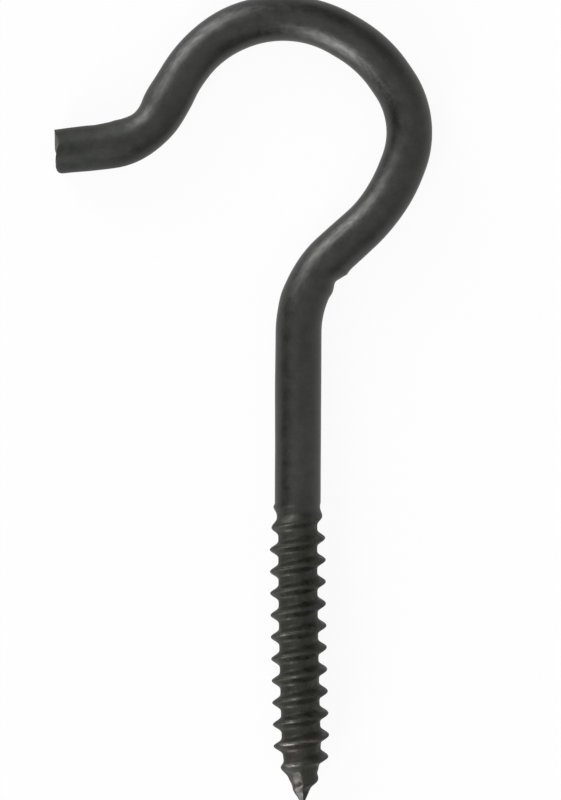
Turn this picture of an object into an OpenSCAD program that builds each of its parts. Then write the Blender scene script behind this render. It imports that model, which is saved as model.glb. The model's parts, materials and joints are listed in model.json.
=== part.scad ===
// Screw hook: one length of round steel wire. One end is bent to an open hook with a flared
// lip, and the other carries a rolled wood-screw thread that runs out in a gimlet point.
// It lies on its side on the plane z = 0, the hook towards +Y and the point towards -Y, and
// the origin is under the middle of the box around it.

/* [Wire] */
// Diameter of the wire
wire_d = 6; // [4:0.1:7]
// How much thinner the wire is where it is bent
bend_thinning = 0.04; // [0.02:0.01:0.2]

/* [Screw] */
// Plain shank, from the first thread to the neck bend
shank_len = 22.2; // [4:0.1:80]
// Threaded end, from the first thread to the tip
thread_len = 39.5; // [16:0.1:80]
// Distance from one crest to the next
thread_pitch = 2.85; // [2.4:0.05:4]
// Diameter over the crests
crest_d = 7.3; // [6.4:0.05:9]
// Diameter at the roots
root_d = 5.1; // [3:0.05:5.9]
// Width of a crest along the screw
crest_w = 0.2; // [0.05:0.05:0.5]
// Width of a flank along the screw
flank_w = 0.75; // [0.4:0.05:0.9]
// Length of the tapered point
point_len = 7; // [4:0.1:14]
// How far the threaded end leans off the shank, away from the lip
thread_lean = 1.2; // [0:0.1:3]

/* [Hook] */
// Centreline radius of the bend from the shank to the hook
neck_r = 13.9; // [6:0.1:30]
// Angle of that bend
neck_turn = 47.5; // [10:0.5:70]
// Straight from the neck to the bow
neck_len = 4.6; // [1:0.1:20]
// Centreline radius where the bow leaves the neck
rise_r = 20.5; // [8:0.1:40]
// Angle of that stretch
rise_turn = 26.5; // [5:0.5:60]
// Centreline radius at the bow's back
back_r = 11.4; // [6:0.1:30]
// Angle of that stretch
back_turn = 55.5; // [10:0.5:90]
// Centreline radius over the bow's crown
crown_r = 16.6; // [8:0.1:30]
// Angle of that stretch
crown_turn = 25.5; // [5:0.5:60]
// Centreline radius at the bow's front
front_r = 15.3; // [8:0.1:30]
// Angle of that stretch
front_turn = 91.5; // [40:0.5:110]
// Short straight between one stretch of the bow and the next
bow_step = 1; // [0.5:0.1:4]

/* [Lip] */
// Straight from the bow to the lip's bend
lip_lead = 4.7; // [1:0.1:20]
// Centreline radius of the lip's bend
lip_r = 8.9; // [5:0.1:20]
// Angle of that bend
lip_turn = 54.5; // [10:0.5:90]
// Straight lip, from its bend to the sheared end
lip_len = 7.3; // [2:0.1:20]
// Slant of the sheared end, which faces upwards a little
shear_slant = 5; // [0:0.5:20]

/* [Hidden] */
$fn = 48;

wire_r = wire_d / 2;
bend_r = wire_r - bend_thinning / 2;
// How far the end of a bend reaches into the straight next to it
bend_lap = 0.2;

// The wire's path from the first thread on: straight, then radius and angle of the bend
// after it, with a turn to the left positive
SHANK_HEADING = 90;
PATH = [
    [shank_len, neck_r, -neck_turn],
    [neck_len, rise_r, rise_turn],
    [bow_step, back_r, back_turn],
    [bow_step, crown_r, crown_turn],
    [bow_step, front_r, front_turn],
    [lip_lead, lip_r, -lip_turn]
];

// A place on the path is [x, y, heading]
function aside(p, d) = [p.x - d * sin(p.z), p.y + d * cos(p.z), p.z];
function ahead(p, d) = [p.x + d * cos(p.z), p.y + d * sin(p.z), p.z];
function centre(p, r, turn) = aside(p, sign(turn) * r);
function turned(p, r, turn) = aside(centre(p, r, turn) + [0, 0, turn], -sign(turn) * r);
function bend_start(i) = ahead(straight_start(i), PATH[i][0]);
function straight_start(i) =
    i == 0 ? [0, 0, SHANK_HEADING] : turned(bend_start(i - 1), PATH[i - 1][1], PATH[i - 1][2]);

lip_start = straight_start(len(PATH));
lip_end = ahead(lip_start, lip_len);
slant_reach = wire_r * tan(shear_slant);
tip_place = [thread_len * sin(thread_lean), -thread_len * cos(thread_lean), 0];

// The edges of the bends, a degree apart, with the corners of the lip's end and the tip
EDGE_STEP = 1;
EDGE = concat(
    [for (i = [0 : len(PATH) - 1]) let (r = PATH[i][1], turn = PATH[i][2])
        for (t = [0 : EDGE_STEP : abs(turn)]) for (side = [-1, 1])
            aside(turned(bend_start(i), r, sign(turn) * t), side * bend_r)],
    [aside(lip_end, wire_r), aside(lip_end, -wire_r), ahead(lip_end, slant_reach), tip_place]
);
edge_x = [for (p = EDGE) p.x];
edge_y = [for (p = EDGE) p.y];
middle = [(min(edge_x) + max(edge_x)) / 2, (min(edge_y) + max(edge_y)) / 2];

// Steps in one turn of the thread
SIDES = 24;
// Direction in which the thread starts, counted from +X towards +Z
thread_phase = -51;
// Turns over which the ridge rises and the groove deepens after the shank
RIDGE_RISE = 1.1;
GROOVE_RISE = 1;
// Turns over which the ridge dies away at the point
RIDGE_FALL = 0.75;
// Shape of the point: 1 is a straight cone, less is rounder
POINT_BULGE = 0.75;
// How high the fillet at the foot of a flank is, as a share of the ridge
FILLET_SHARE = 0.08;
// The thread's stem inside the shank: its length, and how much thinner it is
stem_len = 0.6;
stem_gap = 0.04;
// Wire past the lip's end that the shear takes off
shear_waste = 1;

crest_r = crest_d / 2;
root_r = root_d / 2;
stem_r = wire_r - stem_gap;
root_half = (thread_pitch - crest_w) / 2 - flank_w;
// One pitch of the thread, from root to root: place along the screw, share of the ridge
PROFILE = [
    [0, 0],
    [root_half, FILLET_SHARE],
    [root_half + flank_w, 1],
    [root_half + flank_w + crest_w, 1],
    [thread_pitch - root_half, FILLET_SHARE]
];
ROWS = len(PROFILE);
// Bare tip past the last groove, as a share of the pitch
TIP_SHARE = 0.15;
// Last step of the ridge, one turn of groove before the bare tip
last = floor(SIDES * (thread_len / thread_pitch - TIP_SHARE - 1));

// The screw's axis dips towards the hook, because the crests are wider than the wire: it
// rests on the first full crest and on the bow's crown
first_crest = thread_pitch * (RIDGE_RISE + 1);
rest_dip = asin((crest_r - bend_r) / (first_crest + max(edge_y) - bend_r));
rest_height = crest_r - first_crest * sin(rest_dip);

function ramp(t) = let (u = max(0, min(1, t))) u * u * (3 - 2 * u);
function mix(a, b, t) = a + (b - a) * t;
function taper(a) = pow(min(1, (thread_len - a) / point_len), POINT_BULGE);
function groove_r(n) = mix(stem_r, root_r, ramp(n / (SIDES * GROOVE_RISE)));
function ridge_r(n) = mix(stem_r, crest_r, ramp(n / (SIDES * RIDGE_RISE)));
function ridge_share(n, j) = PROFILE[j].y * ramp((last - n) / (SIDES * RIDGE_FALL));
function around(r, n, a) =
    let (t = thread_phase + 360 * n / SIDES) [r * cos(t), r * sin(t), a];
function thread_point(n, j) =
    let (a = thread_pitch * n / SIDES + PROFILE[j].x)
    around(taper(a) * mix(groove_r(n), ridge_r(n), ridge_share(n, j)), n, a);

// Place of a point in the list: the stem's rim comes first, and row ROWS is the next turn's root
function at(n, j) =
    j == ROWS ? at(n + SIDES, 0) :
    n <= last ? SIDES + n * ROWS + j :
    SIDES + (last + 1) * ROWS + n - last - 1;
tip = at(last + SIDES, 0) + 1;

// Thread and point, along +z from the end of the shank
module threaded_end() {
    rim = [for (n = [0 : SIDES - 1]) around(stem_r, n, -stem_len)];
    ridge = [for (n = [0 : last]) for (j = [0 : ROWS - 1]) thread_point(n, j)];
    end_groove = [for (n = [last + 1 : last + SIDES]) thread_point(n, 0)];
    seam = SIDES - 1;
    stem_faces = concat(
        [[for (n = [0 : SIDES - 1]) n]],
        [for (n = [0 : seam - 1]) each [[n, at(n, 0), n + 1], [at(n, 0), at(n + 1, 0), n + 1]]],
        [[at(seam, 0), at(0, 0), 0], [at(seam, 0), 0, seam]],
        [for (j = [0 : ROWS - 1]) [at(seam, 0), at(0, j + 1), at(0, j)]]
    );
    ridge_faces = [for (n = [0 : last - 1]) for (j = [0 : ROWS - 1]) each [
        [at(n, j), at(n, j + 1), at(n + 1, j)],
        [at(n, j + 1), at(n + 1, j + 1), at(n + 1, j)]
    ]];
    tip_faces = concat(
        [for (n = [last : last + SIDES - 1]) [at(n, 0), tip, at(n + 1, 0)]],
        [for (j = [0 : ROWS - 1]) [at(last, j), at(last, j + 1), tip]]
    );
    polyhedron(
        points = concat(rim, ridge, end_groove, [[0, 0, thread_len]]),
        faces = concat(stem_faces, ridge_faces, tip_faces)
    );
}

module straight(from, length) {
    translate([from.x, from.y, 0])
        rotate([0, 90, from.z])
            cylinder(r = wire_r, h = length);
}

module bend(from, r, turn) {
    lap = asin(bend_lap / r);
    first = from.z - 90 * sign(turn);
    pivot = centre(from, r, turn);
    translate([pivot.x, pivot.y, 0])
        rotate(min(first, first + turn) - lap)
            rotate_extrude(angle = abs(turn) + 2 * lap)
                translate([r, 0])
                    circle(r = bend_r);
}

// The lip's straight end, sheared off at a slant
module lip() {
    difference() {
        straight(lip_start, lip_len + slant_reach + shear_waste);
        translate([lip_end.x, lip_end.y, 0])
            rotate([0, -shear_slant, lip_end.z])
                translate([0, -wire_d, -wire_d])
                    cube(2 * wire_d);
    }
}

module screw_hook() {
    color([0.22, 0.22, 0.21])
        translate([-middle.x, -middle.y, rest_height])
            rotate([-rest_dip, 0, 0])
                union() {
                    rotate([90, 0, thread_lean])
                        threaded_end();
                    for (i = [0 : len(PATH) - 1]) {
                        straight(straight_start(i), PATH[i][0]);
                        bend(bend_start(i), PATH[i][1], PATH[i][2]);
                    }
                    lip();
                }
}

screw_hook();
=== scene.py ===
"""Screw hook: a bent steel wire with a flared lip, a rolled wood-screw thread and a gimlet point.

The hook lies on its side on a pale floor and the camera looks straight down on it. The wire's own
plane has its origin at the first thread, with the shank along +Y and the lip towards -X, and the
finished mesh is then laid where the part's screw_thread mount says.
"""
import json
import logging
import math
from bisect import bisect_right
from dataclasses import dataclass
from enum import Enum

import bmesh
import bpy
from bmesh.types import BMesh, BMEdge, BMVert
from mathutils import Matrix, Vector, noise

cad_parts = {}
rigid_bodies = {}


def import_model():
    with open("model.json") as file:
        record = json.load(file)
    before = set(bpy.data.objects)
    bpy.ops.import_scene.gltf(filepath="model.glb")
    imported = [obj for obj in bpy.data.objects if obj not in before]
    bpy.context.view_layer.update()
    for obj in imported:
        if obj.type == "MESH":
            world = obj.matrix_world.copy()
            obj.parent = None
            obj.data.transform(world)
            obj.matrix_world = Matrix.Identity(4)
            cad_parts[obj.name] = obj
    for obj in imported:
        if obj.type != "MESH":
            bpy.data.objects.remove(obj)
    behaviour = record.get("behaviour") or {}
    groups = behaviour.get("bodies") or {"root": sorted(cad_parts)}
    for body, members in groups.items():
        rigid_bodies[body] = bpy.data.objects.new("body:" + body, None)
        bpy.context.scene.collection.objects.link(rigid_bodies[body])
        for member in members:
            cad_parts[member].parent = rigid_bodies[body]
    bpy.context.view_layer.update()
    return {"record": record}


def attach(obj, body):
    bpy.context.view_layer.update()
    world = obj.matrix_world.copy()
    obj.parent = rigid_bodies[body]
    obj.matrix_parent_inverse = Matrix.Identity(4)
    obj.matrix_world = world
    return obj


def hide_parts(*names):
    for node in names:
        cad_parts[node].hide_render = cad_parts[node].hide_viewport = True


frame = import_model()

LOG = logging.getLogger("screw_hook")
MM = 0.001
UP = Vector((0.0, 0.0, 1.0))
Colour = tuple[float, float, float]
WHITE: Colour = (1.0, 1.0, 1.0)
Socket = bpy.types.NodeSocket
Level = float | Socket


def ramp(value: float) -> float:
    """Ease from 0 to 1 as the value goes from 0 to 1."""
    share = min(1.0, max(0.0, value))
    return share * share * (3.0 - 2.0 * share)


def mix(first: float, last: float, share: float) -> float:
    """Blend two values."""
    return first + (last - first) * share


def bell(distance: float, reach: float) -> float:
    """A smooth bump of height 1 that has faded out a little past its reach."""
    return math.exp(-2.0 * (distance / reach) ** 2)


def angle_apart(first: float, last: float) -> float:
    """The angle between two directions round the wire, in degrees from 0 to 180."""
    return abs((first - last + 180.0) % 360.0 - 180.0)


def sky_way(azimuth: float, elevation: float) -> Vector:
    """Give the direction to a place in the room.

    Args:
        azimuth: Degrees from +X towards +Y.
        elevation: Degrees above the floor.

    Returns:
        The direction as a unit vector.
    """
    turned, raised = math.radians(azimuth), math.radians(elevation)
    level = math.cos(raised)
    return Vector((level * math.cos(turned), level * math.sin(turned), math.sin(raised)))


class Turn(Enum):
    """Which way a bend turns on the way from the screw to the lip, seen from above."""

    LEFT = 1
    RIGHT = -1


class Mask(Enum):
    """The values that each vertex of the hook carries for its finish."""

    # Bare steel where the crests are worn, and a painted highlight on the point's flat
    WEAR_AND_HIGHLIGHT = "wear"
    RUST = "rust"
    SCALE = "scale"
    LIP = "lip"
    # Share of colour streaks; on the bends it follows the lamps' highlights, so there they are painted
    # highlight
    STREAKS_AND_HIGHLIGHT = "streaks_and_highlight"


class Skin:
    """Places on the wire's skin, kept with each vertex while the mesh grows."""

    def __init__(self, bm: BMesh) -> None:
        """Add the layers to an empty mesh.

        Args:
            bm: The mesh that is about to be built.
        """
        layers = bm.verts.layers
        self.along = layers.float.new("along")
        self.around = layers.float.new("around")
        self.heading = layers.float.new("heading")
        self.grain = layers.float_vector.new("grain")
        self.masks = {mask: layers.float.new(mask.value) for mask in Mask}

    def outward(self, vert: BMVert) -> Vector:
        """Give the direction from the wire's middle line out through a vertex."""
        around, heading = math.radians(vert[self.around]), vert[self.heading]
        aside = math.cos(around)
        return Vector((math.sin(heading) * aside, -math.cos(heading) * aside, math.sin(around)))


@dataclass(frozen=True)
class Bend:
    """A straight stretch of wire and the bend that follows it."""

    lead: float
    radius: float
    degrees: float
    turn: Turn
    step: float = 0.6 * MM

    @property
    def sweep(self) -> float:
        """The bend's angle in radians, with a turn to the left positive."""
        return math.radians(self.degrees) * self.turn.value


@dataclass(frozen=True)
class Place:
    """A place on the wire's middle line."""

    spot: Vector
    heading: float
    along: float

    @property
    def ahead_way(self) -> Vector:
        """The direction in which the wire runs here."""
        return Vector((math.cos(self.heading), math.sin(self.heading), 0.0))

    def ahead(self, distance: float) -> "Place":
        """Give the place a straight distance further on."""
        return Place(self.spot + self.ahead_way * distance, self.heading, self.along + distance)

    def pivot(self, bend: Bend) -> Vector:
        """Give the middle of a bend that starts here."""
        return self.spot + UP.cross(self.ahead_way) * bend.radius * bend.turn.value

    def past(self, bend: Bend) -> "Place":
        """Give the place where a bend that starts here ends."""
        pivot = self.pivot(bend)
        spot = pivot + Matrix.Rotation(bend.sweep, 3, "Z") @ (self.spot - pivot)
        return Place(spot, self.heading + bend.sweep, self.along + bend.radius * abs(bend.sweep))


@dataclass(frozen=True)
class Waist:
    """A stretch where a bend drew the wire thinner or pressed it wider, seen from above."""

    along: float
    reach: float
    gain: float


@dataclass(frozen=True)
class Mark:
    """A dent or a swell on one side of the wire."""

    along: float
    around: float
    reach: float
    spread: float
    gain: float

    def lift(self, along: float, around: float) -> float:
        """Say how far the mark moves the skin at a place.

        Args:
            along: Distance along the wire.
            around: Direction round the wire in degrees.

        Returns:
            The move outwards in metres.
        """
        beside = angle_apart(around, self.around)
        share = bell(along - self.along, self.reach) * bell(beside, self.spread)
        return self.gain * share


def ring_verts(ring: list[BMEdge]) -> list[BMVert]:
    """List the vertices of a ring of edges once each."""
    return list({vert: None for edge in ring for vert in edge.verts})


def grow_ring(bm: BMesh, ring: list[BMEdge]) -> list[BMEdge]:
    """Extrude a ring of edges in place.

    Args:
        bm: The mesh that the ring belongs to.
        ring: The open ring of edges.

    Returns:
        The new open ring.
    """
    grown = bmesh.ops.extrude_edge_only(bm, edges=ring)["geom"]
    fresh = {part for part in grown if isinstance(part, BMVert)}
    return [part for part in grown if isinstance(part, BMEdge) and fresh.issuperset(part.verts)]


def spin_ring(bm: BMesh, ring: list[BMEdge], pivot: Vector, axis: Vector, sweep: float, steps: int,
              climb: Vector) -> tuple[list[BMEdge], list[BMVert]]:
    """Spin a ring of edges about an axis.

    Args:
        bm: The mesh that the ring belongs to.
        ring: The open ring of edges.
        pivot: A point on the axis.
        axis: The axis's direction.
        sweep: The whole angle in radians.
        steps: Number of new rings.
        climb: How far each step also moves.

    Returns:
        The new open ring, and all the vertices that the spin made.
    """
    old = set(bm.verts)
    spun = bmesh.ops.spin(
        bm, geom=ring_verts(ring) + ring, cent=pivot, axis=axis, dvec=climb, angle=sweep, steps=steps,
        use_merge=False, use_duplicate=False,
    )
    last = [part for part in spun["geom_last"] if isinstance(part, BMEdge)]
    return last, [vert for vert in bm.verts if vert not in old]


@dataclass
class BentWire:
    """The plain wire, from the first thread round the bow to the lip's end.

    Waists and marks are where bending made it uneven. On the sides of the bends that face one of
    the highlight_ways, where the lamps' highlights fall, its oxide carries painted highlight streaks.
    """

    radius: float = 3.0 * MM
    sides: int = 60
    step: float = 0.6 * MM
    heading: float = math.radians(90.0)
    bends: tuple[Bend, ...] = (
        Bend(22.2 * MM, 13.9 * MM, 47.5, Turn.RIGHT, 0.2 * MM),
        Bend(4.6 * MM, 20.5 * MM, 26.5, Turn.LEFT),
        Bend(1.0 * MM, 11.4 * MM, 55.5, Turn.LEFT),
        Bend(1.0 * MM, 16.6 * MM, 25.5, Turn.LEFT),
        Bend(1.0 * MM, 15.3 * MM, 91.5, Turn.LEFT),
        Bend(4.7 * MM, 8.9 * MM, 54.5, Turn.RIGHT),
    )
    lip_length: float = 7.3 * MM
    lip_margin: float = 0.9 * MM
    dull_length: float = 8.0 * MM
    waists: tuple[Waist, ...] = (
        Waist(41.3 * MM, 5.0 * MM, -0.07 * MM),
        Waist(89.5 * MM, 9.0 * MM, -0.1 * MM),
        Waist(101.5 * MM, 4.5 * MM, -0.2 * MM),
        Waist(113.5 * MM, 4.0 * MM, -0.12 * MM),
    )
    marks: tuple[Mark, ...] = (
        Mark(30.9 * MM, 0.0, 1.3 * MM, 75.0, -0.34 * MM),
        Mark(33.1 * MM, 0.0, 0.8 * MM, 60.0, 0.16 * MM),
        Mark(29.0 * MM, 0.0, 0.9 * MM, 60.0, 0.08 * MM),
        Mark(15.0 * MM, 180.0, 8.0 * MM, 75.0, 0.06 * MM),
        Mark(26.4 * MM, 180.0, 1.8 * MM, 75.0, 0.08 * MM),
        Mark(76.0 * MM, 180.0, 11.0 * MM, 75.0, -0.1 * MM),
        Mark(84.0 * MM, 0.0, 6.0 * MM, 75.0, 0.1 * MM),
        Mark(94.2 * MM, 180.0, 1.8 * MM, 75.0, -0.08 * MM),
        Mark(97.4 * MM, 0.0, 3.2 * MM, 75.0, 0.21 * MM),
        Mark(103.4 * MM, 0.0, 1.6 * MM, 75.0, 0.1 * MM),
        Mark(105.4 * MM, 0.0, 2.1 * MM, 75.0, 0.2 * MM),
        Mark(108.7 * MM, 0.0, 1.1 * MM, 75.0, -0.07 * MM),
        Mark(112.6 * MM, 0.0, 2.0 * MM, 75.0, 0.06 * MM),
    )
    wave: float = 0.012 * MM
    wave_length: float = 4.0 * MM
    waves_across: float = 1.5
    # Directions halfway between the camera and each lamp, round which the painted highlight streaks go
    highlight_ways: tuple[Vector, ...] = (sky_way(128.0, 56.0), sky_way(239.0, 55.0))
    highlight_spread: float = 30.0
    highlight_start: float = 22.2 * MM
    highlight_length: float = 8.0 * MM
    lip_streaks: float = 0.2

    def first_ring(self, bm: BMesh, skin: Skin) -> list[BMEdge]:
        """Lay the ring between shank and thread.

        Args:
            bm: The mesh to start.
            skin: The mesh's layers.

        Returns:
            The ring's edges.
        """
        upright = Matrix.Rotation(math.radians(90.0), 4, "X")
        made = bmesh.ops.create_circle(bm, segments=self.sides, radius=self.radius, matrix=upright)
        for vert in made["verts"]:
            vert[skin.around] = math.degrees(math.atan2(vert.co.z, vert.co.x))
            vert[skin.heading] = self.heading
        return list(bm.edges)

    def run_straight(self, bm: BMesh, skin: Skin, ring: list[BMEdge], start: Place,
                     length: float) -> tuple[list[BMEdge], Place]:
        """Run the wire straight on.

        Args:
            bm: The mesh.
            skin: Its layers.
            ring: The open ring at the start.
            start: The place of that ring.
            length: How far the wire runs.

        Returns:
            The open ring at the end, and its place.
        """
        way, steps = start.ahead_way, math.ceil(length / self.step)
        ring, fresh = spin_ring(bm, ring, start.spot, UP, 0.0, steps, way * (length / steps))
        for vert in fresh:
            vert[skin.along] = start.along + (vert.co - start.spot).dot(way)
            vert[skin.heading] = start.heading
        return ring, start.ahead(length)

    def run_bend(self, bm: BMesh, skin: Skin, ring: list[BMEdge], start: Place,
                 bend: Bend) -> tuple[list[BMEdge], Place]:
        """Run the wire round a bend.

        Args:
            bm: The mesh.
            skin: Its layers.
            ring: The open ring at the start.
            start: The place of that ring.
            bend: The bend.

        Returns:
            The open ring at the end, and its place.
        """
        pivot = start.pivot(bend)
        steps = math.ceil(bend.radius * abs(bend.sweep) / bend.step)
        ring, fresh = spin_ring(bm, ring, pivot, UP, bend.sweep, steps, Vector())
        first = math.atan2(start.spot.y - pivot.y, start.spot.x - pivot.x)
        for vert in fresh:
            angle = math.atan2(vert.co.y - pivot.y, vert.co.x - pivot.x)
            swept = ((angle - first) * bend.turn.value) % math.tau
            vert[skin.along] = start.along + bend.radius * swept
            vert[skin.heading] = start.heading + swept * bend.turn.value
        return ring, start.past(bend)

    def lift(self, along: float, around: float) -> float:
        """Say how far the real wire's skin lies outside a plain round one.

        Args:
            along: Distance along the wire.
            around: Direction round the wire in degrees.

        Returns:
            The distance in metres, negative inwards.
        """
        aside, upwards = math.cos(math.radians(around)), math.sin(math.radians(around))
        drawn = sum(waist.gain * bell(along - waist.along, waist.reach) for waist in self.waists)
        marked = sum(mark.lift(along, around) for mark in self.marks)
        across = (self.waves_across * aside, self.waves_across * upwards)
        wavy = noise.noise(Vector((along / self.wave_length, *across)))
        return drawn * aside * aside + marked + self.wave * wavy * ramp(along / self.wave_length)

    def highlight_share(self, along: float, outward: Vector) -> float:
        """Say how nearly the skin at a place faces a lamp's highlight, which sets its painted highlight
        streaks.

        Args:
            along: Distance along the wire.
            outward: The direction in which the skin faces there.

        Returns:
            0 away from the lamps' highlights to 1 where a highlight falls most fully.
        """
        apart = min(math.degrees(outward.angle(way)) for way in self.highlight_ways)
        return bell(apart, self.highlight_spread) * ramp((along - self.highlight_start) / self.highlight_length)

    def build(self, bm: BMesh, skin: Skin) -> tuple[list[BMEdge], list[BMEdge], Place]:
        """Sweep the wire and press its marks.

        Args:
            bm: The mesh to start.
            skin: Its layers.

        Returns:
            The open rings at the thread and short of the lip's end, and the place of that end.
        """
        first = ring = self.first_ring(bm, skin)
        place = Place(Vector(), self.heading, 0.0)
        for bend in self.bends:
            ring, place = self.run_straight(bm, skin, ring, place, bend.lead)
            ring, place = self.run_bend(bm, skin, ring, place, bend)
        lip_start = place.along
        ring, place = self.run_straight(bm, skin, ring, place, self.lip_length - self.lip_margin)
        for vert in bm.verts:
            along, around = vert[skin.along], vert[skin.around]
            vert.co += skin.outward(vert) * self.lift(along, around)
            turned = math.radians(around)
            across, upwards = self.radius * math.cos(turned), self.radius * math.sin(turned)
            vert[skin.grain] = Vector((across, upwards, along))
            lip = ramp((along - lip_start) / self.dull_length + 1.0)
            vert[skin.masks[Mask.LIP]] = lip
            # Painted highlight streaks where the skin faces a lamp's highlight, and a fixed share of
            # streaks on the lip
            highlight_share = self.highlight_share(along, skin.outward(vert))
            vert[skin.masks[Mask.STREAKS_AND_HIGHLIGHT]] = mix(highlight_share, self.lip_streaks, lip)
        return first, ring, place.ahead(self.lip_margin)


@dataclass
class ShearedEnd:
    """The lip's end: half sheared and half torn, chipped on top and rolled over on the outer side."""

    sharp_edge: float = 0.06 * MM
    rolled_edge: float = 0.85 * MM
    roll_power: float = 7.0
    edge_rings: int = 6
    face_rings: int = 14
    sheared_rise: float = 0.115 * MM
    sheared_slope: float = -0.1
    torn_rise: float = -0.1 * MM
    torn_slope: float = -0.13
    step_across: float = -0.1 * MM
    step_blend: float = 0.25 * MM
    chip_slant: float = 0.24
    chip_across: float = 1.1 * MM
    chip_reach: float = 1.6 * MM
    rough: float = 0.03 * MM
    rough_size: float = 0.7 * MM

    def edge_radius(self, around: float) -> float:
        """Give the rounding of the rim at a direction round the wire in degrees."""
        outer = 0.5 - 0.5 * math.cos(math.radians(around))
        return mix(self.sharp_edge, self.rolled_edge, outer ** self.roll_power)

    def face(self, across: float, upwards: float) -> float:
        """Say how far the cut face stands out at a place.

        Args:
            across: Place across the wire, seen from above, positive towards the hook's crown.
            upwards: Height above the wire's middle.

        Returns:
            The distance past the lip's end in metres.
        """
        sheared = 0.5 + 0.5 * math.tanh((across - self.step_across) / self.step_blend)
        smooth = self.sheared_rise + self.sheared_slope * across
        grainy = noise.noise(Vector((across, upwards, 0.0)) / self.rough_size)
        torn = self.torn_rise + self.torn_slope * across + self.rough * grainy
        chip = self.chip_slant * max(0.0, upwards) * bell(across - self.chip_across, self.chip_reach)
        return mix(torn, smooth, sheared) - chip

    def build(self, bm: BMesh, skin: Skin, ring: list[BMEdge], end: Place) -> None:
        """Close the wire's end.

        Args:
            bm: The mesh.
            skin: Its layers.
            ring: The open ring short of the lip's end.
            end: The place of that end.
        """
        way = end.ahead_way
        rim = {
            vert[skin.around]: (vert.co - end.spot).dot(skin.outward(vert)) for vert in ring_verts(ring)
        }
        for count in range(self.edge_rings + self.face_rings + 1):
            ring = grow_ring(bm, ring)
            swing = math.radians(90.0) * min(1.0, count / self.edge_rings)
            share = max(0.0, (count - self.edge_rings) / (self.face_rings + 1))
            for vert in ring_verts(ring):
                turned, outward = math.radians(vert[skin.around]), skin.outward(vert)
                edge = self.edge_radius(vert[skin.around])
                reach = (rim[vert[skin.around]] - edge * (1.0 - math.cos(swing))) * (1.0 - share)
                across, upwards = reach * math.cos(turned), reach * math.sin(turned)
                stand = self.face(across, upwards) - edge * (1.0 - math.sin(swing))
                vert.co = end.spot + outward * reach + way * stand
                vert[skin.grain] = Vector((across, upwards, end.along + stand))
        centre = end.spot + way * self.face(0.0, 0.0)
        bmesh.ops.pointmerge(bm, verts=ring_verts(ring), merge_co=centre)


@dataclass(frozen=True)
class Profile:
    """A radius that changes along the screw, through knots of place and radius in millimetres."""

    knots: tuple[tuple[float, float], ...]
    blend: float = 0.2

    def chord(self, place: float) -> float:
        """Read the straight line between the knots on both sides of a place."""
        number = min(len(self.knots) - 1, max(1, bisect_right(self.knots, (place,))))
        (start, first), (end, last) = self.knots[number - 1], self.knots[number]
        return mix(first, last, min(1.0, max(0.0, (place - start) / (end - start))))

    def at(self, place: float) -> float:
        """Read the rounded line.

        Args:
            place: Distance from the first thread in metres.

        Returns:
            The radius in metres.
        """
        middle = place / MM
        sides = self.chord(middle - self.blend) + self.chord(middle + self.blend)
        return (0.5 * self.chord(middle) + 0.25 * sides) * MM


@dataclass(frozen=True)
class Facet:
    """A flat that the dies press on the point, at a share of the round radius that falls per metre."""

    around: float
    share: float
    fall: float = 0.0


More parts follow.
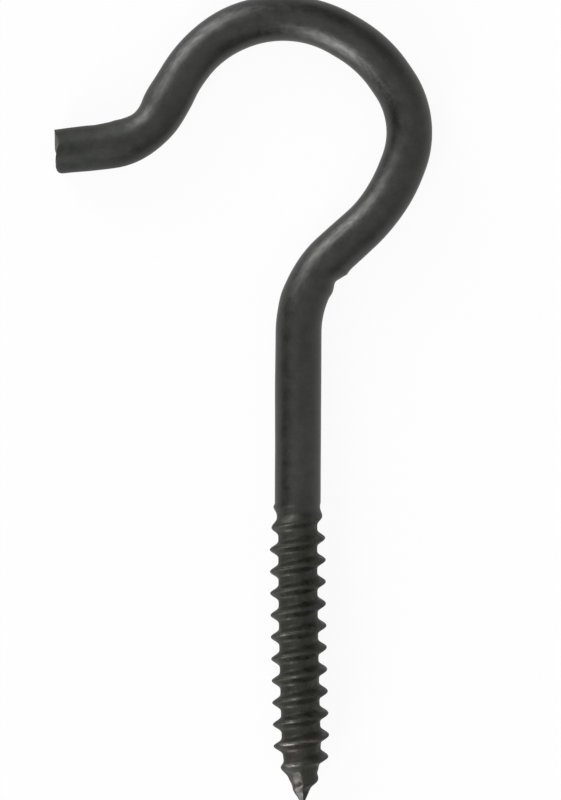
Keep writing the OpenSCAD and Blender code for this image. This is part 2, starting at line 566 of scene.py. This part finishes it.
@dataclass
class WoodScrew:
    """The rolled thread and the pinched gimlet point below the shank.

    The flanks grow from blunt to sharp over the first turns, where the groove is still shallow. The
    last crest lags behind its place, and the whole screw bows a little.
    """

    way: Vector
    length: float = 39.5 * MM
    pitch: float = 2.85 * MM
    first_crest: float = 1.83 * MM
    blunt_power: float = 2.6
    sharp_power: float = 4.3
    sharp_start: float = 2.5 * MM
    steep_start: float = 0.6 * MM
    sharp_length: float = 2.5 * MM
    stem: float = 3.0 * MM
    lead_in: float = 0.6 * MM
    lag: float = 0.2 * MM
    lag_start: float = 34.2 * MM
    lag_length: float = 2.0 * MM
    steps_per_turn: int = 16
    cuts: int = 2
    core: Profile = Profile((
        (31.5, 2.55), (33.2, 2.42), (34.7, 2.19), (36.1, 1.68), (37.0, 1.22), (38.0, 0.78),
        (38.8, 0.42), (39.5, 0.05),
    ))
    shallows: Profile = Profile((
        (0.3, 0.36), (1.3, 0.37), (1.9, 0.15), (2.6, 0.05), (3.4, 0.0),
    ))
    crests: Profile = Profile((
        (0.05, 3.0), (0.41, 3.24), (1.83, 3.2), (3.26, 3.45), (4.68, 3.6), (6.1, 3.65), (31.7, 3.65),
        (33.2, 3.5), (34.6, 2.73), (36.05, 2.24), (37.45, 1.26), (38.5, 0.5), (39.5, 0.05),
    ))
    facets: tuple[Facet, ...] = (
        Facet(114.0, 0.98, 80.0), Facet(62.0, 0.87), Facet(150.0, 0.92), Facet(225.0, 0.85),
        Facet(315.0, 0.85),
    )
    flat_facing: float = 0.5
    pinch_start: float = 34.7 * MM
    pinch_length: float = 0.4 * MM
    bow: float = 0.15 * MM
    bow_length: float = 32.0 * MM
    groove_share: float = 0.35
    crest_scale: float = 0.85
    streak_share: float = 0.3
    chatter: float = 0.035 * MM
    chatter_size: float = 1.1 * MM
    chatter_scale: float = 1.7
    chatter_start: float = 0.5
    worn: tuple[Mark, ...] = (
        Mark(31.35 * MM, 122.0, 0.2 * MM, 20.0, 1.0),
        Mark(30.95 * MM, 70.0, 0.25 * MM, 30.0, 0.25),
        Mark(34.1 * MM, 122.0, 0.2 * MM, 22.0, 0.9),
        Mark(28.45 * MM, 110.0, 0.2 * MM, 9.0, 0.35),
        Mark(25.45 * MM, 101.0, 0.2 * MM, 7.0, 0.5),
        Mark(22.6 * MM, 100.0, 0.2 * MM, 7.0, 0.4),
        Mark(17.1 * MM, 124.0, 0.2 * MM, 7.0, 0.5),
    )
    # A painted highlight: a paler patch of bare-steel colour on the point's flat that faces the lamps
    painted_point_highlight: tuple[Mark, ...] = (Mark(36.3 * MM, 130.0, 1.7 * MM, 45.0, 0.1),)
    rusty: tuple[Mark, ...] = (Mark(32.7 * MM, 118.0, 1.0 * MM, 34.0, 0.8),)

    def crest_place(self, down: float, around: float) -> float:
        """Find the nearest crest in a direction.

        Args:
            down: Distance from the first thread towards the tip.
            around: Direction round the screw in degrees.

        Returns:
            That crest's own distance from the first thread.
        """
        late = self.lag * ramp((down - self.lag_start) / self.lag_length)
        turns = (down - late - self.first_crest) / self.pitch - around / 360.0
        return down - (turns - round(turns)) * self.pitch

    def ridge(self, down: float, crest: float) -> float:
        """Say where a place lies between groove and crest.

        Args:
            down: Distance from the first thread towards the tip.
            crest: The nearest crest's distance from the first thread.

        Returns:
            0 in the groove to 1 on the crest.
        """
        start = self.steep_start if down > crest else self.sharp_start
        sharp = ramp((crest - start) / self.sharp_length)
        wave = abs(math.cos(math.pi * (down - crest) / self.pitch))
        return wave ** mix(self.blunt_power, self.sharp_power, sharp)

    def pinched(self, down: float, around: float) -> float:
        """Give the radius's share that the flats of the point leave.

        Args:
            down: Distance from the first thread towards the tip.
            around: Direction round the screw in degrees.

        Returns:
            1 on an edge, less on a flat.
        """
        beyond = max(0.0, down - self.pinch_start)
        flat = 1.0
        for facet in self.facets:
            facing = math.cos(math.radians(around - facet.around))
            if facing > self.flat_facing:
                flat = min(flat, (facet.share - facet.fall * beyond) / facing)
        return mix(1.0, flat, ramp(beyond / self.pinch_length))

    def reach(self, down: float, around: float) -> float:
        """Give the screw's radius.

        Args:
            down: Distance from the first thread towards the tip.
            around: Direction round the screw in degrees.

        Returns:
            The distance of the skin from the axis.
        """
        crest = self.crest_place(down, around)
        shallow = self.shallows.at(crest + math.copysign(self.pitch / 2.0, down - crest))
        height = max(0.0, self.crests.at(crest) - self.core.at(crest) - shallow)
        turned = math.radians(around)
        place = Vector((math.cos(turned), math.sin(turned), down / self.chatter_size))
        rough = noise.noise(place * self.chatter_scale)
        height += self.chatter * rough * ramp(down / self.pitch - self.chatter_start)
        radius = self.core.at(down) + shallow + height * self.ridge(down, crest)
        return mix(self.stem, radius, ramp(down / self.lead_in)) * self.pinched(down, around)

    def build(self, bm: BMesh, skin: Skin, ring: list[BMEdge]) -> None:
        """Screw the thread out of the shank's open ring and close it at the tip.

        Args:
            bm: The mesh.
            skin: Its layers.
            ring: The open ring at the first thread.
        """
        aside = UP.cross(self.way)
        steps = math.ceil(self.length / self.pitch * self.steps_per_turn)
        climb = self.length / steps
        sweep = math.tau * self.length / self.pitch
        _, fresh = spin_ring(bm, ring, Vector(), self.way, sweep, steps, self.way * climb)
        links = {edge: None for vert in fresh for edge in vert.link_edges}
        rungs = [edge for edge in links
                 if abs((edge.verts[0].co - edge.verts[1].co).dot(self.way)) > climb / 2.0]
        bmesh.ops.subdivide_edges(bm, edges=rungs, cuts=self.cuts)
        half_rung = climb / (2.0 * self.cuts + 2.0)
        for vert in bm.verts:
            if vert.co.y > -half_rung:
                continue
            down = vert.co.dot(self.way)
            around = math.degrees(math.atan2(vert.co.z, vert.co.dot(aside)))
            turned, radius = math.radians(around), self.reach(down, around)
            off_axis = -self.bow * math.sin(math.pi * min(1.0, down / self.bow_length))
            across = aside * (math.cos(turned) * radius + off_axis)
            vert.co = self.way * down + across + UP * (math.sin(turned) * radius)
            vert[skin.along] = -down
            vert[skin.around] = around
            vert[skin.grain] = Vector((math.cos(turned), math.sin(turned), 0.0)) * radius - UP * down
            crest = self.ridge(down, self.crest_place(down, around))
            # Real wear on the crests, and a painted highlight on the point's flat, both as bare-steel
            # colour
            point_highlight = sum(mark.lift(down, around) for mark in self.painted_point_highlight)
            wear = sum(mark.lift(down, around) for mark in self.worn)
            vert[skin.masks[Mask.WEAR_AND_HIGHLIGHT]] = point_highlight + crest * wear
            vert[skin.masks[Mask.RUST]] = sum(mark.lift(down, around) for mark in self.rusty)
            vert[skin.masks[Mask.STREAKS_AND_HIGHLIGHT]] = self.streak_share * ramp(down / self.pitch)
            coated = ramp(down / self.pitch) * ramp((self.pinch_start - down) / self.pitch + 1.0)
            left = mix(1.0, self.crest_scale, ramp(crest / self.groove_share))
            vert[skin.masks[Mask.SCALE]] = coated * left
        tip = [edge for edge in bm.edges if edge.is_boundary]
        bmesh.ops.pointmerge(bm, verts=ring_verts(tip), merge_co=self.way * self.length)


class NodeBench:
    """A short way to add and join the nodes of one node tree."""

    # Places of a Mix node's colour sockets, whose names it also gives to other kinds of socket
    MIX_SHARE, MIX_FIRST, MIX_LAST, MIX_RESULT = 0, 6, 7, 2

    def __init__(self, tree: bpy.types.NodeTree) -> None:
        """Clear a tree and keep it.

        Args:
            tree: The node tree of a material or the world.
        """
        self.tree = tree
        tree.nodes.clear()

    def add(self, kind: str, inputs: dict | None = None, **settings: object) -> bpy.types.Node:
        """Add a node.

        Args:
            kind: The node's type without its ShaderNode prefix.
            inputs: Values or sockets for its inputs, by name or number.
            settings: The node's own settings.

        Returns:
            The new node.
        """
        node = self.tree.nodes.new("ShaderNode" + kind)
        for name, value in settings.items():
            setattr(node, name, value)
        for name, value in (inputs or {}).items():
            if isinstance(value, Socket):
                self.tree.links.new(value, node.inputs[name])
            else:
                node.inputs[name].default_value = value
        return node

    def math(self, operation: str, *values: Level) -> Socket:
        """Add a Math node and give its result."""
        return self.add("Math", dict(enumerate(values)), operation=operation).outputs[0]

    def band(self, value: Socket, low: float, high: float, to_low: Level = 0.0, to_high: Level = 1.0,
             ease: str = "LINEAR") -> Socket:
        """Map a range of values to another, clamped.

        Args:
            value: The value to map.
            low: Value that becomes to_low.
            high: Value that becomes to_high.
            to_low: Result at the low end.
            to_high: Result at the high end.
            ease: How the result runs between the two ends.

        Returns:
            The mapped value.
        """
        ends = {"From Min": low, "From Max": high, "To Min": to_low, "To Max": to_high}
        node = self.add("MapRange", {"Value": value, **ends}, interpolation_type=ease)
        return node.outputs["Result"]

    def blend(self, share: Level, first: object, last: object, mode: str = "MIX") -> Socket:
        """Mix two colours.

        Args:
            share: How much of the last colour shows.
            first: The first colour, as a socket or four numbers.
            last: The last colour.
            mode: How the last colour is laid on the first.

        Returns:
            The mixed colour.
        """
        inputs = {self.MIX_SHARE: share, self.MIX_FIRST: first, self.MIX_LAST: last}
        node = self.add("Mix", inputs, data_type="RGBA", blend_type=mode)
        return node.outputs[self.MIX_RESULT]

    def stretch(self, place: Socket, share: float) -> Socket:
        """Draw out a pattern along the wire.

        Args:
            place: The coordinates, with the distance along the wire last.
            share: How much of that distance counts.

        Returns:
            The new coordinates.
        """
        return self.add("Mapping", {"Vector": place, "Scale": (1.0, 1.0, share)}).outputs["Vector"]

    def speckle(self, place: Socket, size: float, detail: float = 2.0) -> Socket:
        """Add a noise of a given grain size.

        Args:
            place: The coordinates.
            size: Rough size of a grain in metres.
            detail: Octaves of finer grain.

        Returns:
            The noise's value.
        """
        inputs = {"Vector": place, "Scale": 1.0 / size, "Detail": detail}
        return self.add("TexNoise", inputs).outputs["Fac"]


def rgba(colour: Colour) -> tuple[float, float, float, float]:
    """Give a colour with full alpha."""
    return (*colour, 1.0)


@dataclass(frozen=True)
class SteelPatterns:
    """The masks and noises from which the steel's finish is mixed."""

    masks: dict[Mask, Socket]
    clouds: Socket
    grain: Socket
    blotches: Socket
    streaks: Socket
    lines: Socket
    patches: Socket


@dataclass(frozen=True)
class BlackenedSteel:
    """Satin black oxide on drawn wire, rubbed bare at the lowest crests, with painted highlight streaks
    on the bends.
    """

    oxide: Colour = (0.061, 0.061, 0.058)
    pale_oxide: Colour = (0.069, 0.069, 0.066)
    cool_oxide: Colour = (0.046, 0.049, 0.045)
    scale: Colour = (0.061, 0.062, 0.053)
    rust: Colour = (0.068, 0.054, 0.049)
    bare: Colour = (0.50, 0.45, 0.43)
    edge_tint: Colour = (0.91, 0.91, 0.91)
    smoothest: float = 0.415
    roughest: float = 0.445
    highlight_smoothest: float = 0.38
    highlight_roughest: float = 0.48
    scale_roughness: float = 0.22
    lip_roughness: float = 0.12
    # Each pattern's size, and how strongly it shows in colour, roughness and relief
    cloud_size: float = 5.0 * MM
    cloud_detail: float = 4.0
    grain_size: float = 0.4 * MM
    grain_detail: float = 3.0
    mottle: float = 0.055
    # Stronger mottle where the lamps' highlights fall: painted highlight texture
    highlight_mottle: float = 0.12
    streak_size: float = 0.45 * MM
    streak_detail: float = 1.0
    streak_stretch: float = 0.4
    streak_mottle: float = 0.27
    blotch_size: float = 1.5 * MM
    blotch_gain: float = 0.025
    blotch_share: float = 2.0
    blotch_mottle: float = 0.09
    line_size: float = 0.5 * MM
    line_stretch: float = 0.04
    line_share: float = 0.3
    patch_size: float = 0.9 * MM
    grain_depth: float = 0.012 * MM
    grain_strength: float = 0.6
    # Stretches of a noise's values over which an effect goes from one end to the other
    most: tuple[float, float] = (0.3, 0.7)
    middle: tuple[float, float] = (0.35, 0.65)
    cool_values: tuple[float, float] = (0.38, 0.6)
    bare_values: tuple[float, float] = (0.35, 0.6)
    least_bare: float = 0.3
    patch_values: tuple[float, float] = (0.38, 0.5)
    least_patch: float = 0.35

    def patterns(self, bench: NodeBench) -> SteelPatterns:
        """Lay out the masks and noises.

        Args:
            bench: The material's nodes.

        Returns:
            Their sockets.
        """
        place = bench.add("TexCoord").outputs["Object"]
        skin = bench.add("Attribute", attribute_name="grain").outputs["Vector"]
        streaked = bench.stretch(skin, self.streak_stretch)
        carried = {mask: bench.add("Attribute", attribute_name=mask.value) for mask in Mask}
        return SteelPatterns(
            masks={mask: node.outputs["Fac"] for mask, node in carried.items()},
            clouds=bench.speckle(place, self.cloud_size, self.cloud_detail),
            grain=bench.speckle(place, self.grain_size, self.grain_detail),
            blotches=bench.speckle(place, self.blotch_size),
            streaks=bench.speckle(streaked, self.streak_size, self.streak_detail),
            lines=bench.speckle(bench.stretch(skin, self.line_stretch), self.line_size),
            patches=bench.speckle(place, self.patch_size),
        )

    def shade(self, bench: NodeBench, patterns: SteelPatterns) -> Socket:
        """Mix the oxide's mottling, with painted highlight streaks where the lamps' highlights fall.

        Args:
            bench: The material's nodes.
            patterns: The masks and noises.

        Returns:
            The factor by which the oxide is paler or darker.
        """
        streaks_and_highlight = patterns.masks[Mask.STREAKS_AND_HIGHLIGHT]
        # The mottle and the streaks are strongest where the lamps' highlights fall: painted highlight
        # texture
        mottle = bench.band(streaks_and_highlight, 0.0, 1.0, self.mottle, self.highlight_mottle)
        darkest, palest = bench.math("SUBTRACT", 1.0, mottle), bench.math("ADD", 1.0, mottle)
        shade = bench.band(patterns.grain, *self.most, darkest, palest)
        darkest, palest = 1.0 - self.blotch_mottle, 1.0 + self.blotch_mottle
        blotches = bench.band(patterns.blotches, *self.most, darkest, palest)
        shade = bench.math("MULTIPLY", shade, blotches)
        streaks = bench.band(patterns.streaks, *self.most, -self.streak_mottle, self.streak_mottle)
        return bench.math("MULTIPLY", shade, bench.math("MULTIPLY_ADD", streaks, streaks_and_highlight, 1.0))

    def tone(self, bench: NodeBench, patterns: SteelPatterns) -> Socket:
        """Mix the colour of the oxide, the scale, the rust and the bare steel.

        Args:
            bench: The material's nodes.
            patterns: The masks and noises.

        Returns:
            The colour.
        """
        masks, clouds = patterns.masks, patterns.clouds
        tone = bench.blend(bench.band(clouds, *self.middle), rgba(self.oxide), rgba(self.pale_oxide))
        cool = bench.math("MULTIPLY", masks[Mask.LIP], bench.band(clouds, *self.cool_values))
        tone = bench.blend(cool, tone, rgba(self.cool_oxide))
        tone = bench.blend(masks[Mask.SCALE], tone, rgba(self.scale))
        tone = bench.blend(masks[Mask.RUST], tone, rgba(self.rust))
        tone = bench.blend(1.0, tone, self.shade(bench, patterns), "MULTIPLY")
        # Bare-steel colour: real wear on the crests, and a painted highlight on the point's flat
        spotty = bench.band(patterns.grain, *self.bare_values, self.least_bare, 1.0)
        return bench.blend(bench.math("MULTIPLY", masks[Mask.WEAR_AND_HIGHLIGHT], spotty), tone, rgba(self.bare))

    def matt(self, bench: NodeBench, patterns: SteelPatterns) -> Socket:
        """Mix the roughness.

        Args:
            bench: The material's nodes.
            patterns: The masks and noises.

        Returns:
            The roughness.
        """
        masks = patterns.masks
        smoothest = bench.band(masks[Mask.STREAKS_AND_HIGHLIGHT], 0.0, 1.0, self.smoothest, self.highlight_smoothest)
        roughest = bench.band(masks[Mask.STREAKS_AND_HIGHLIGHT], 0.0, 1.0, self.roughest, self.highlight_roughest)
        matt = bench.band(patterns.grain, *self.middle, smoothest, roughest)
        blotched = bench.band(patterns.blotches, *self.most, -self.blotch_gain, self.blotch_gain)
        matt = bench.math("ADD", matt, blotched)
        patchy = bench.band(patterns.patches, *self.patch_values, self.least_patch, 1.0)
        scaly = bench.math("MULTIPLY", masks[Mask.SCALE], patchy)
        matt = bench.math("MULTIPLY_ADD", scaly, self.scale_roughness, matt)
        return bench.math("MULTIPLY_ADD", masks[Mask.LIP], self.lip_roughness, matt)

    def relief(self, bench: NodeBench, patterns: SteelPatterns) -> Socket:
        """Mix the fine relief.

        Args:
            bench: The material's nodes.
            patterns: The masks and noises.

        Returns:
            The normal that it bends.
        """
        height = bench.math("MULTIPLY_ADD", patterns.lines, self.line_share, patterns.grain)
        height = bench.math("MULTIPLY_ADD", patterns.blotches, self.blotch_share, height)
        inputs = {"Height": height, "Strength": self.grain_strength, "Distance": self.grain_depth}
        return bench.add("Bump", inputs).outputs["Normal"]

    def build(self) -> bpy.types.Material:
        """Make the material.

        Returns:
            The new material.
        """
        material = bpy.data.materials.new("blackened_steel")
        material.use_nodes = True
        bench = NodeBench(material.node_tree)
        patterns = self.patterns(bench)
        surface = bench.add("BsdfPrincipled", {
            "Base Color": self.tone(bench, patterns),
            "Metallic": 1.0,
            "Roughness": self.matt(bench, patterns),
            "Specular Tint": rgba(self.edge_tint),
            "Normal": self.relief(bench, patterns),
        })
        bench.add("OutputMaterial", {"Surface": surface.outputs["BSDF"]})
        return material


@dataclass(frozen=True)
class PaleFloor:
    """Plain white paper under the hook, which keeps a soft shadow."""

    colour: Colour = (0.86, 0.86, 0.86)
    glow_share: float = 0.93

    def build(self) -> bpy.types.Material:
        """Make the material.

        Returns:
            The new material.
        """
        material = bpy.data.materials.new("pale_floor")
        material.use_nodes = True
        bench = NodeBench(material.node_tree)
        light_path = bench.add("LightPath").outputs
        seen = bench.math("MAXIMUM", light_path["Is Camera Ray"], light_path["Is Glossy Ray"])
        seen = bench.math("MAXIMUM", seen, light_path["Is Transmission Ray"])
        paper = bench.add("BsdfDiffuse", {"Color": rgba(self.colour)}).outputs[0]
        white = bench.add("Emission", {"Color": rgba(WHITE), "Strength": 1.0}).outputs[0]
        share = bench.math("MULTIPLY", seen, self.glow_share)
        both = bench.add("MixShader", {0: share, 1: paper, 2: white}).outputs[0]
        bench.add("OutputMaterial", {"Surface": both})
        return material


@dataclass
class ScrewHook:
    """The whole hook: wire, lip and screw as one mesh, laid where the part lies."""

    mount: dict
    finish: BlackenedSteel
    weld: float = 1e-4 * MM

    def resting(self) -> Matrix:
        """Give the matrix from the wire's own plane to the place where the part lies."""
        axis = Vector(self.mount["axis"]).normalized()
        dip = math.atan2(axis.z, -axis.y)
        return Matrix.Translation(self.mount["pos_m"]) @ Matrix.Rotation(-dip, 4, "X")

    def screw_way(self) -> Vector:
        """Give the screw's direction in the wire's own plane."""
        axis = Vector(self.mount["axis"]).normalized()
        return Vector((axis.x, -math.hypot(axis.y, axis.z), 0.0))

    def build(self) -> bpy.types.Object:
        """Model the hook and dress it.

        Returns:
            The finished object.
        """
        bm = bmesh.new()
        skin = Skin(bm)
        thread_ring, lip_ring, lip_end = BentWire().build(bm, skin)
        LOG.info("wire swept: %.1f mm", lip_end.along / MM)
        ShearedEnd().build(bm, skin, lip_ring, lip_end)
        WoodScrew(self.screw_way()).build(bm, skin, thread_ring)
        bmesh.ops.remove_doubles(bm, verts=bm.verts, dist=self.weld)
        bmesh.ops.recalc_face_normals(bm, faces=bm.faces)
        bmesh.ops.transform(bm, matrix=self.resting(), verts=bm.verts)
        for face in bm.faces:
            face.smooth = True
        mesh = bpy.data.meshes.new("hook_body")
        bm.to_mesh(mesh)
        bm.free()
        mesh.materials.append(self.finish.build())
        hook = bpy.data.objects.new("hook_body", mesh)
        bpy.context.scene.collection.objects.link(hook)
        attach(hook, "root")
        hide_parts("screw_hook")
        LOG.info("hook_body: %d faces", len(mesh.polygons))
        return hook


@dataclass(frozen=True)
class SoftBox:
    """A soft square lamp that faces the middle of the hook."""

    name: str
    way: Vector
    distance: float
    width: float
    height: float
    brightness: float

    def build(self) -> bpy.types.Object:
        """Hang the lamp.

        Returns:
            The lamp.
        """
        light = bpy.data.lights.new(self.name, "AREA")
        light.shape = "RECTANGLE"
        light.size, light.size_y = self.width, self.height
        light.energy = self.brightness * math.pi * self.width * self.height
        lamp = bpy.data.objects.new(self.name, light)
        lamp.location = self.way * self.distance
        lamp.rotation_euler = self.way.to_track_quat("Z", "Y").to_euler()
        bpy.context.scene.collection.objects.link(lamp)
        return lamp


@dataclass(frozen=True)
class DarkSide:
    """A side of the room from which little light comes."""

    way: Vector
    spread: float
    depth: float


@dataclass
class Studio:
    """Floor, lamps, surrounding light and the camera above the hook."""

    mount: dict
    floor: PaleFloor
    lamps: tuple[SoftBox, ...] = (
        SoftBox("upper_left", sky_way(128.0, 23.2), 0.9, 0.48, 0.63, 5.54),
        SoftBox("lower_left", sky_way(238.8, 20.2), 0.9, 0.42, 0.92, 7.0),
    )
    dark_sides: tuple[DarkSide, ...] = (
        DarkSide(sky_way(73.5, 27.0), 49.2, 0.78),
        DarkSide(sky_way(197.7, 10.6), 62.0, 0.92),
        DarkSide(sky_way(-80.2, 16.0), 53.7, 0.87),
    )
    overhead: float = 0.72
    horizon: float = 0.712
    floor_size: float = 8.0
    image_width: int = 561
    image_height: int = 800
    pixels_per_metre: float = 7667.0
    first_thread_px: tuple[float, float] = (297.7, 502.4)
    roll: float = math.radians(0.32)
    lens: float = 200.0
    sensor: float = 36.0

    def lay_floor(self) -> bpy.types.Object:
        """Lay the floor on z = 0.

        Returns:
            The floor.
        """
        bm = bmesh.new()
        bmesh.ops.create_grid(bm, x_segments=1, y_segments=1, size=self.floor_size / 2.0)
        mesh = bpy.data.meshes.new("floor")
        bm.to_mesh(mesh)
        bm.free()
        mesh.materials.append(self.floor.build())
        floor = bpy.data.objects.new("floor", mesh)
        bpy.context.scene.collection.objects.link(floor)
        return floor

    def light_room(self) -> None:
        """Light the scene softly, brightest overhead, with a few dark sides."""
        world = bpy.data.worlds.new("room")
        world.use_nodes = True
        bench = NodeBench(world.node_tree)
        way = bench.add("TexCoord").outputs["Generated"]
        upwards = bench.add("SeparateXYZ", {0: way}).outputs["Z"]
        glow = bench.band(upwards, 0.0, 1.0, self.horizon, self.overhead)
        for side in self.dark_sides:
            facing = bench.add("VectorMath", {0: way, 1: side.way}, operation="DOT_PRODUCT")
            edge = math.cos(math.radians(side.spread))
            left = bench.band(facing.outputs["Value"], edge, 1.0, 1.0, 1.0 - side.depth, "SMOOTHSTEP")
            glow = bench.math("MULTIPLY", glow, left)
        room = bench.add("Background", {"Color": rgba(WHITE), "Strength": glow}).outputs[0]
        bench.add("OutputWorld", {"Surface": room})
        bpy.context.scene.world = world

    def hang_camera(self) -> bpy.types.Object:
        """Hang the camera straight above, so that the first thread falls on its pixel.

        Returns:
            The camera.
        """
        first = Vector(self.mount["pos_m"])
        across = (self.first_thread_px[0] - self.image_width / 2.0) / self.pixels_per_metre
        upwards = (self.image_height / 2.0 - self.first_thread_px[1]) / self.pixels_per_metre
        aim = first - Matrix.Rotation(self.roll, 3, "Z") @ Vector((across, upwards, 0.0))
        data = bpy.data.cameras.new("camera")
        data.lens, data.sensor_width, data.sensor_fit = self.lens, self.sensor, "AUTO"
        distance = self.image_height / self.pixels_per_metre * self.lens / self.sensor
        camera = bpy.data.objects.new("camera", data)
        camera.location = aim + UP * distance
        camera.rotation_euler = (0.0, 0.0, self.roll)
        bpy.context.scene.collection.objects.link(camera)
        bpy.context.scene.camera = camera
        return camera

    def build(self) -> None:
        """Set up the whole studio."""
        self.lay_floor()
        self.light_room()
        self.hang_camera()
        for lamp in self.lamps:
            lamp.build()
        bpy.context.scene.view_settings.view_transform = "Standard"


def main() -> None:
    """Build the studio and the hook, and report each."""
    logging.basicConfig(level=logging.INFO, format="%(name)s: %(message)s")
    mount = next(row for row in frame["record"]["mounts"] if row["name"] == "screw_thread")
    Studio(mount, PaleFloor()).build()
    LOG.info("studio set up")
    ScrewHook(mount, BlackenedSteel()).build()


if __name__ == "__main__":
    main()
